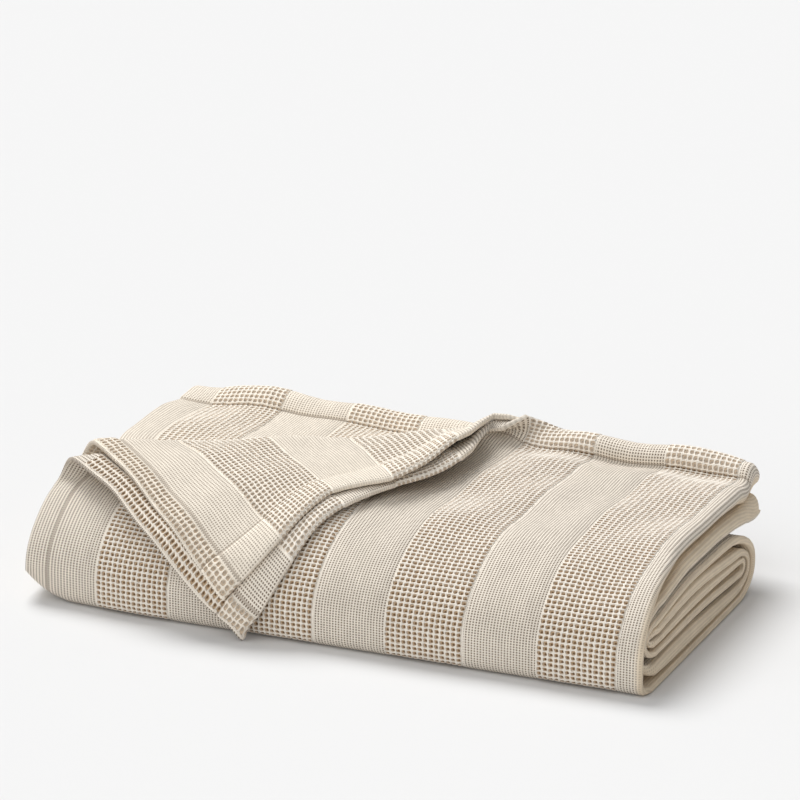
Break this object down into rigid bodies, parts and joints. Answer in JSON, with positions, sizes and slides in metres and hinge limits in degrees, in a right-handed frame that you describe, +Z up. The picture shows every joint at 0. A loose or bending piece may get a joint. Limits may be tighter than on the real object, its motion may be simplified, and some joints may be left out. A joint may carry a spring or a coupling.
{
  "type": "folded blanket",
  "caption": "Waffle weave cotton blanket with open weave stripes, folded into a flat pile with a back corner turned over to the front, for covering a bed.",
  "frame": {"origin": "on the table under the middle of the folded blanket's box", "axes": "+X along the folded blanket's length, to the right of the front face; +Y from the front face to the hems at the back; +Z up"},
  "size_m": [0.5772, 0.349, 0.1205],
  "materials": {
    "cotton_weave": "matte undyed cotton, light beige"
  },
  "bodies": {
    "root": {"blanket": "cotton_weave"}
  },
  "joints": []
}
